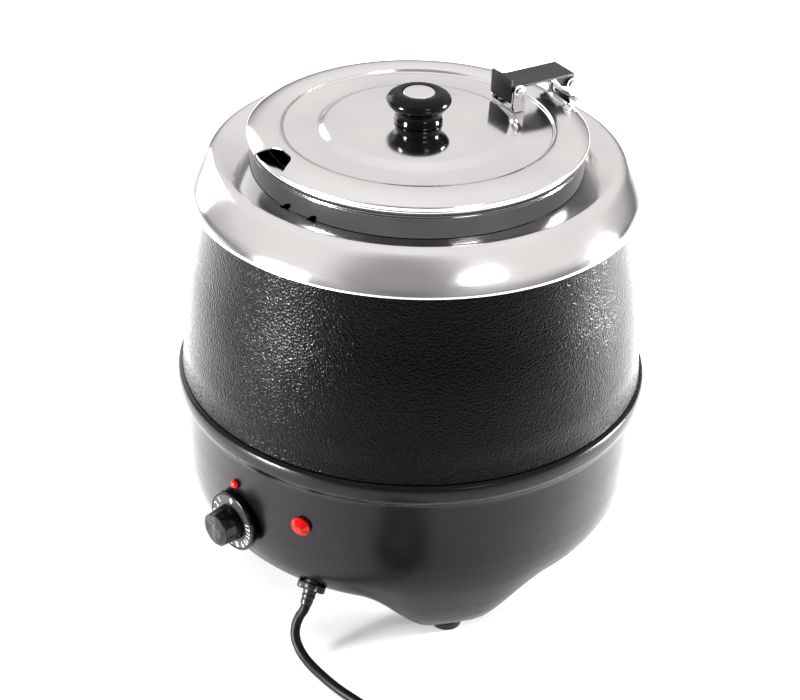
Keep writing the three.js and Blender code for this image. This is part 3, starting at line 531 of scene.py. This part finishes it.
def coil_points():
    """Turns wound side by side and one on another, each step made before the last one comes round."""
    inner, outer = COIL_RADII
    first, second, third = (COIL_BED + CORD_D * layer for layer in range(3))
    seats = ((outer, first), (inner, first), (inner, second), (inner, third), (outer, third),
             (outer, second))
    start, step, turn, end, crossing = 109, 15, 330, 1909, 30
    for wound in range(step, end, step):
        seat = min(wound // turn, len(seats) - 1)
        share = max(0.0, (wound - (seat + 1) * turn) / crossing + 1) if seat < len(seats) - 1 else 0.0
        here, after = seats[seat], seats[min(seat + 1, len(seats) - 1)]
        r, z = (a + (b - a) * share for a, b in zip(here, after))
        angle = math.radians(start - wound)
        yield COIL + Vector((r * math.cos(angle), r * math.sin(angle), z))


def make_cord():
    """The lead from the gland over the table, round the coil and into the plug."""
    run = [(88.6, -145.2, 26.5), (90, -148.8, 19), (93.2, -150.6, 13.6), (98.8, -151, 8.3),
           (106, -150.6, 5), (115, -149.8, 3.7), (127, -148.4, 3.5), (145, -145.2, 3.5),
           (162, -140.2, 3.5), (186, -132, 3.5), (206, -126, 4.2), (226.8, -122, 4.8)]
    ahead = Vector((math.sin(PLUG_TURN), -math.cos(PLUG_TURN), 0))
    back = PLUG_BACK - ahead * 0.3
    tail = [COIL + Vector((43, -14, 13)), COIL + Vector((49.5, -36, 14)), back - ahead * 10, back]
    route = [beyond_gland(d) for d in (-12, 2, 13, 19)] + [Vector(p) for p in run]
    route += list(coil_points()) + tail
    curve = bpy.data.curves.new("power_lead", "CURVE")
    curve.dimensions = "3D"
    curve.bevel_depth = CORD_D / 2 * MM
    curve.bevel_resolution = 5
    curve.resolution_u = 5
    curve.use_fill_caps = True
    line = curve.splines.new("BEZIER")
    line.bezier_points.add(len(route) - 1)
    for point, place in zip(line.bezier_points, route):
        point.co = place * MM + AXIS
        point.handle_left_type = point.handle_right_type = "AUTO"
    curve.materials.append(cord_jacket)
    lead = bpy.data.objects.new("power_lead", curve)
    scene.collection.objects.link(lead)
    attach(lead, "kettle")
    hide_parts("power_cord", "cord_coil", "cord_tail")
    return lead


def lying_plug():
    return (Matrix.Translation(PLUG_BACK * MM + AXIS)
            @ Matrix.Rotation(PLUG_TURN, 4, "Z") @ Matrix.Rotation(math.radians(90), 4, "X"))


def make_plug():
    """Moulded mains plug with a ribbed grip and a raised pin face."""
    ribs = []
    for z in (22 + 3.2 * i for i in range(4)):
        ribs += [(17, z, 0.3), (16.1, z + 0.5, 0.3), (16.1, z + 1.6, 0.3), (17, z + 2.1, 0.3)]
    bm = turned([(0, 0), (5.6, 0, 0.8), (6.4, 2, 0.5), (8, 10, 2), (15, 16, 2.5), (17, 19.5, 1.2), *ribs,
                 (17, 36.6, 0.6), (16, 38, 0.6), (13.5, 38, 0.2), (13.2, 37.4, 0.2), (0, 37.4)], steps=48)
    return piece("plug_moulding", bm, "kettle", cord_jacket, ("plug_body",), lying_plug())


def make_tie():
    return dressed("coil_tie", 0.35, rubber)


lead = make_cord()
plug = make_plug()
tie = make_tie()


# ------------------------------------------------------------------ ring, barrel and well
RING_SLOPE = 1 / 3
INNER_R, INNER_Z = COLLAR_R - 4.5, SKIRT_Z + 18
VENT_ANGLES = (10, 22)
LEDGE_R = 128  # the barrel's turned-in top, under the ring
LEDGE_INNER_R = 115.5
WELL_FLANGE_R = 126


def ring_top(r):
    """Height of the ring's dished part at a radius."""
    return INNER_Z + (r - INNER_R) * RING_SLOPE


def vents():
    """The two steam vents, as the rods that cut them."""
    bm = bmesh.new()
    r = COLLAR_R + 1
    for angle in VENT_ANGLES:
        a = math.radians(angle)
        rod(bm, 3, INNER_Z - 12, INNER_Z + 14, 32, (r * math.sin(a), -r * math.cos(a)))
    return bm


def make_ring():
    """Drawn steel ring: a short skirt, a rounded crest and a dish down to the pot's collar."""
    z = SKIRT_Z
    bm = turned_sheet([
        (SKIRT_R, z), (SKIRT_R - 0.3, z + 1.6, 0.5), (SKIRT_R - 2.3, z + 7, 3),
        (SKIRT_R - 7.8, z + 15, 4.5), (SKIRT_R - 14, z + 22.5, 3), (SKIRT_R - 16.9, z + 25.2, 1.8),
        (SKIRT_R - 21.3, z + 27, 2.2),
        (SKIRT_R - 26.8, z + 25.5, 2.6), (INNER_R, INNER_Z)], steps=192, segments=6)
    return piece("ring_steel", bm, "kettle", steel, ("top_ring",), wall=1.2,
                 holes=vents())


def make_barrel():
    """Sheet barrel, flared at its foot, turned in under the ring."""
    z, top = SEAM_Z, SKIRT_Z
    lift = top - z
    r = SKIRT_R - 9.6
    bm = turned_sheet([
        (SEAM_INNER_R, z + 0.4), (BODY_R + 0.4, z + 0.4, 0.8), (BODY_R - 0.1, z + 3, 1),
        (BODY_R - 1.2, z + 12, 3.5), (BODY_R - 1.4, z + lift * 0.17, 5),
        (r + 11.7, z + lift * 0.468, 16), (r + 3.8, z + lift * 0.766, 16),
        (r, top, 6), (r - 2.5, top + 14, 4), (r - 8, ring_top(r - 8) - 6.8, 2),
        (LEDGE_R, ring_top(LEDGE_R) - 4.2, 2), (LEDGE_INNER_R, ring_top(LEDGE_INNER_R) - 4.2)],
        steps=192, segments=6)
    return piece("barrel_skin", bm, "kettle", barrel_black, ("upper_shell",),
                 wall=1.3)


def make_well():
    """Water well: a round-cornered tank hung by its flange under the ring."""
    wall = COLLAR_R - 6.5
    bm = turned_sheet([
        (0, WELL_FLOOR_Z), (wall, WELL_FLOOR_Z, 13), (wall, ring_top(wall) - 1.7, 0.4),
        (WELL_FLANGE_R, ring_top(WELL_FLANGE_R) - 1.7)], steps=144, segments=8)
    return piece("well_steel", bm, "kettle", sheet_steel, ("water_well",), wall=1.0,
                 holes=vents())


# ------------------------------------------------------------------ base
FOOT_ANGLES = (60, 180, 300)
UNDERSIDE = 36
FOOT_HEIGHT = 8
FOOT_CIRCLE = BODY_R - 46
LOBE_TOP = 92  # where the lobes begin to draw the wall down


def lobe_share(angle):
    """1 over a foot, 0 between feet."""
    flat, fading = 7, 20
    away = min(abs((angle - foot + 540) % 360 - 180) for foot in FOOT_ANGLES)
    fade = min(1.0, max(0.0, (away - flat) / fading))
    return 1 - fade * fade * (3 - 2 * fade)


def make_base():
    """Moulded base: a rounded foot drawn down into three lobes, and a bead under the seam."""
    wall = ((36, 36), (28, 38.2), (20.8, 43.2), (14.4, 50), (9.2, 58), (5.3, 66), (3, 75), (1.5, 86),
            (0.6, 101), (0, 117))
    z = SEAM_Z
    bm = turned_sheet([
        (FOOT_CIRCLE - 13, UNDERSIDE), *((BODY_R - inset, at, 3.2) for inset, at in wall),
        (BODY_R, z - 20, 1.2), (BODY_R + 0.7, z - 16.5, 0.9), (BEAD_R - 1.8, z - 14.8, 1),
        (BEAD_R, z - 11.5, 1.4), (BEAD_R, z - 5.5, 1.5), (BEAD_R - 1, z - 1.8, 1), (BEAD_R - 3.5, z, 0.5),
        (SEAM_INNER_R, z)], steps=240, segments=4)
    for vert in bm.verts:
        low_share = min(1.0, max(0.0, (LOBE_TOP - vert.co.z / MM) / (LOBE_TOP - UNDERSIDE)))
        angle = math.degrees(math.atan2(vert.co.x, -vert.co.y))
        vert.co.z -= (UNDERSIDE - FOOT_HEIGHT) * MM * lobe_share(angle) * low_share ** 2.4
    holes = bmesh.new()
    for turn, height, radius in ((0, CONTROL_Z, 5.4), (0, INDEX_Z, 2.8), (LAMP_TURN, LAMP_Z, 6)):
        bore = rod(holes, radius, BODY_R - 40, BODY_R + 20, 32)
        bmesh.ops.transform(holes, verts=bore, matrix=Matrix.Rotation(turn, 4, "Z")
                            @ Matrix.Translation((0, 0, height * MM))
                            @ Matrix.Rotation(math.radians(90), 4, "X"))
    bmesh.ops.rotate(holes, verts=holes.verts, cent=(0, 0, 0),
                     matrix=Matrix.Rotation(BASE_TURN, 3, "Z"))
    return piece("base_moulding", bm, "kettle", base_black, ("base_shell",),
                 place=about_axis(BASE_TURN), wall=2.4, holes=holes)


def make_feet():
    """Rubber feet, each with a deep hole for its screw."""
    for i, angle in enumerate(FOOT_ANGLES):
        bm = turned([(2.4, 5), (2.4, 7.7, 0.3), (11.4, 7.7, 0.4), (12, 6.6, 0.5), (11.2, 1, 0.6),
                     (10.2, 0, 0.6), (5.2, 0, 0.5), (5.2, 5, 0.3)], True, 48)
        spot = about_axis(BASE_TURN + math.radians(angle)) @ Matrix.Translation((0, -FOOT_CIRCLE * MM, 0))
        piece(f"foot_rubber_{i + 1}", bm, "kettle", rubber, (f"foot_{i + 1}",), spot)


# ------------------------------------------------------------------ controls
DIAL_Z = BODY_R + 0.6  # back of the dial, from the axis
FACE_Z = DIAL_Z + 4.9
DIAL_BORE = 3.4
FIRST_MARK, MARK_STEP = 76, 21.5  # degrees clockwise from 0 to the 12, and from number to number


def numeral(text, clockwise, radius, size):
    """A number on the dial, its top outwards."""
    words = bpy.data.curves.new("numeral", "FONT")
    words.body = text
    words.size = size * MM
    words.align_x, words.align_y = "CENTER", "CENTER"
    words.extrude = 0.05 * MM
    words.offset = -0.12 * MM
    words.resolution_u = 6
    holder = bpy.data.objects.new("numeral", words)
    scene.collection.objects.link(holder)
    bpy.context.view_layer.update()
    shown = holder.evaluated_get(bpy.context.evaluated_depsgraph_get())
    mesh = bpy.data.meshes.new_from_object(shown)
    bpy.data.objects.remove(holder)
    mesh.transform(Matrix.Rotation(-clockwise, 4, "Z") @ Matrix.Translation((0, radius * MM, 0)))
    return mesh


def make_dial():
    """Control dial: a numbered skirt and a twelve-sided grip with a flat end."""
    out = facing(BASE_TURN, CONTROL_Z)
    sides = 12
    skirt = turned([(DIAL_BORE, DIAL_Z), (22, DIAL_Z, 0.4), (23, DIAL_Z + 1, 0.6), (23, FACE_Z - 0.2, 0.9),
                    (21.9, FACE_Z, 0.3), (21.5, FACE_Z - 0.5, 0.2), (DIAL_BORE, FACE_Z - 0.5)], True, 96)
    piece("dial_skirt", skirt, "control", knob_black, ("control_knob",), out)
    face = turned([(DIAL_BORE, FACE_Z - 0.4), (21.2, FACE_Z - 0.4, 0.1), (21.2, FACE_Z - 0.15, 0.1),
                   (DIAL_BORE, FACE_Z - 0.15)], True, 96)
    piece("dial_face", face, "control", face_black, (), out)
    grip = bmesh.new()
    bmesh.ops.create_cone(grip, cap_ends=True, segments=sides, radius1=14 * MM, radius2=13 * MM,
                          depth=15.2 * MM, matrix=Matrix.Translation((0, 0, (FACE_Z + 7.4) * MM)))
    eased(grip, 0.7, 20)
    piece("dial_grip", grip, "control", knob_black, (), out, sharp=25)
    tip = turned([(0, FACE_Z + 14.9), (11.4, FACE_Z + 14.9), (11.4, FACE_Z + 15, 0.05), (0, FACE_Z + 15)],
                 steps=sides)
    piece("dial_grip_face", tip, "control", grip_grey, (), out)
    marks = bmesh.new()
    places = [("0", 0)] + [(str(n), FIRST_MARK + MARK_STEP * (12 - n)) for n in range(12, 0, -1)]
    for text, clockwise in places:
        marks.from_mesh(numeral(text, math.radians(clockwise), 17.9, 6.4))
    bmesh.ops.translate(marks, verts=marks.verts, vec=(0, 0, (FACE_Z - 0.12) * MM))
    piece("dial_numbers", marks, "control", numeral_white, (), out)


def make_lamps():
    """A small round index lamp over the dial and a larger faceted power lamp beside it."""
    seat = BODY_R + 0.3
    small = turned([(0, seat - 18), (2.5, seat - 18), (2.5, seat - 0.1), (3.4, seat - 0.1, 0.2),
                    (3.4, seat + 1.4, 0.6), (2.4, seat + 3.2, 1), (0, seat + 3.9)], steps=48)
    piece("index_lens", small, "kettle", red_lens, ("index_lamp",),
          facing(BASE_TURN, INDEX_Z))
    lens = turned([(0, seat), (7.4, seat, 0.2), (7.4, seat + 2, 0.3), (6.9, seat + 2.3), (3, seat + 5.9),
                   (0, seat + 6.2)], steps=14)
    piece("power_lens", lens, "kettle", red_lens, ("power_lamp_lens",),
          facing(SIDE_TURN, LAMP_Z), sharp=8)


def make_gland():
    """Rubber cord gland: a flange between two round lobes, and a ribbed sleeve that tapers out."""
    along = (about_axis(SIDE_TURN) @ Matrix.Translation(Vector((0, -GLAND_R, GLAND_Z)) * MM)
             @ Matrix.Rotation(math.radians(90) + GLAND_TILT, 4, "X"))
    bore = CORD_D / 2 + 0.15
    sleeve = turned([
        (bore, -14), (5.9, -14, 0.4), (5.9, -0.5), (7.2, 0, 0.4), (7.2, 3.4, 0.8), (5.2, 4.6, 0.4),
        (5, 7, 0.3), (4.6, 7.3, 0.2), (4.6, 8.3, 0.2), (4.9, 8.6, 0.2), (4.7, 10.6, 0.3),
        (4.3, 10.9, 0.2), (4.3, 11.9, 0.2),
        (4.5, 12.2, 0.2), (4.2, 15, 0.3), (4, 16, 0.2), (bore, 16)], True, 48)
    for side in (-1, 1):
        lobe = rod(sleeve, 4.6, -0.6, 5.2, 32, (side * 6.2, 0))
        rims = {e for v in lobe for e in v.link_edges if e.calc_face_angle(0) > 1}
        bmesh.ops.bevel(sleeve, geom=list(rims), offset=1.5 * MM, offset_type="OFFSET", affect="EDGES",
                        segments=5, profile=0.5, material=-1)
    piece("gland_rubber", sleeve, "kettle", rubber, ("cord_gland",), along)


# ------------------------------------------------------------------ pot and lid
def make_pot():
    """Lift-out pot; its collar, turned down over the ring, gets a darker steel as painted shade for the
    lid's shadow.
    """
    inner = COLLAR_R - 11.4
    z = POT_RIM_Z
    bm = turned_sheet([
        (0, POT_FLOOR_Z + 1), (inner, POT_FLOOR_Z + 1, 15), (inner, z, 1.6), (COLLAR_R, z, 1.8),
        (COLLAR_R, z - 3.4, 0.4), (COLLAR_R - 0.5, z - 4.2, 0.4), (COLLAR_R - 0.5, z - 5.2, 0.4),
        (COLLAR_R, z - 6, 0.4), (COLLAR_R, low_collar())], steps=160, segments=7)
    pot = piece("pot_steel", bm, "pot", steel, ("soup_pot",), wall=1.0)
    pot.data.materials.append(collar_painted_shade_steel)
    # the collar's faces take the darker steel, which is painted shade for the lid's shadow
    for face in pot.data.polygons:
        out = math.hypot(face.center.x, face.center.y - AXIS.y) / MM
        face.material_index = int(out > COLLAR_R - 1.2 and face.center.z / MM < z - 2)
    return pot


def low_collar():
    """The collar's lower edge, just clear of the ring."""
    return ring_top(COLLAR_R) + 0.3


def notch():
    """The ladle's opening in the lid: narrow inside, wide at the rim, its inner corners rounded."""
    inside, outside = -(LID_R - 15.5), -(LID_R + 3)
    bm = bmesh.new()
    corners = [bm.verts.new((x * MM, y * MM, (LID_EDGE_Z - 12) * MM)) for x, y in (
        (-21.9, outside), (-10, inside), (10, inside), (21.9, outside))]
    bm.faces.new(corners)
    bmesh.ops.bevel(bm, geom=corners[1:3], offset=5 * MM, offset_type="OFFSET", affect="VERTICES",
                    segments=6, profile=0.5, material=-1)
    raised = bmesh.ops.extrude_face_region(bm, geom=bm.faces[:])["geom"]
    bmesh.ops.translate(bm, verts=[v for v in raised if isinstance(v, bmesh.types.BMVert)],
                        vec=(0, 0, 30 * MM))
    bmesh.ops.recalc_face_normals(bm, faces=bm.faces)
    return bm


def make_lid():
    """Pressed lid: raised middle, sunk track for the hinge, rounded shoulder and rolled edge."""
    r, z, disc, track = LID_R, LID_EDGE_Z, DISC_Z, TRACK_Z
    bm = turned_sheet([
        (0, disc), (r - 55.1, disc, 2), (r - 49.5, track + 0.3, 2), (r - 25.7, track, 1),
        (r - 24.5, disc - 1.5, 1), (r - 21.1, disc - 0.3, 1.5), (r - 14, disc, 3), (r - 7, disc - 1.6, 3),
        (r - 2, z + 3.8, 1), (r - 0.3, z + 2.6, 0.7), (r, z + 1.6, 0.5), (r, z)], steps=192, segments=6)
    return piece("lid_steel", bm, "lid", steel, ("lid",), wall=1.0, holes=notch(),
                 folded=True)


def make_knob():
    """Waisted lid knob with a steel button set in its top."""
    z, top = KNOB_Z, KNOB_Z + 22.3
    bm = turned([
        (2.5, z), (17, z, 0.5), (17, z + 2, 0.8), (16.2, z + 5, 1.2), (16.8, z + 8.5, 2), (21.3, z + 13, 2),
        (22.7, z + 15.6, 1), (22.7, z + 17.6, 1), (21.1, top - 2.4, 1.4), (17.3, top - 0.4, 1.2),
        (14.7, top, 0.8), (11.8, top - 0.2, 0.3), (11.7, top - 1.8, 0.2), (2.5, top - 1.8)], True, 96)
    piece("knob_moulding", bm, "lid", knob_black, ("lid_knob",))
    cap = turned([(0, top - 1.4), (11.4, top - 1.4), (11.4, top - 0.5, 0.3), (10.4, top + 0.2, 0.5),
                  (0, top + 0.4)], steps=96)
    piece("knob_button", cap, "lid", steel, ("knob_cap",))


def make_hinge():
    """Brackets, folded arm, pins and rivets of the lid's hinge."""
    dressed("lid_bracket", 0.35, steel)
    dressed("rear_bracket", 0.35, steel)
    dressed("hinge_arm", 0.5, hinge_black)
    for pin in ("front_pin", "rear_pin"):
        dressed(pin, 0.3, steel)
    for rivet in ("lid_rivet_1", "lid_rivet_2", "collar_rivet_1", "collar_rivet_2"):
        dressed(rivet, 0.25, sheet_steel)


# ------------------------------------------------------------------ pieces kept as the frame has them
KEPT = {
    sheet_steel: ("base_plate", "foot_screw_1", "foot_screw_2", "foot_screw_3", "plate_screw_1",
                  "plate_screw_2", "plate_screw_3", "shell_screw_1", "shell_screw_2", "shell_screw_3",
                  "element_clamp", "clamp_nut", "centre_stud", "plate_nut", "thermostat_bracket",
                  "thermostat_shaft", "lamp_nut", "knob_screw", "plug_pin_1", "plug_pin_2"),
    heated_steel: ("heating_element",),
    aluminium: ("element_plate", "heat_shield"),
    brass: ("sensor_bulb", "capillary_tube", "earth_stud"),
    ceramic: ("thermostat_body", "power_lamp_body", "terminal_block"),
    silicone: ("ring_gasket",),
    knob_black: ("thermal_cutout",),
}


def dress_kept_pieces():
    for material, names in KEPT.items():
        for name in names:
            node = frame["nodes"][name]
            node.data.materials.clear()
            node.data.materials.append(material)


make_ring()
make_barrel()
make_well()
make_base()
make_feet()
make_dial()
make_lamps()
make_gland()
make_pot()
make_lid()
make_knob()
make_hinge()
dress_kept_pieces()
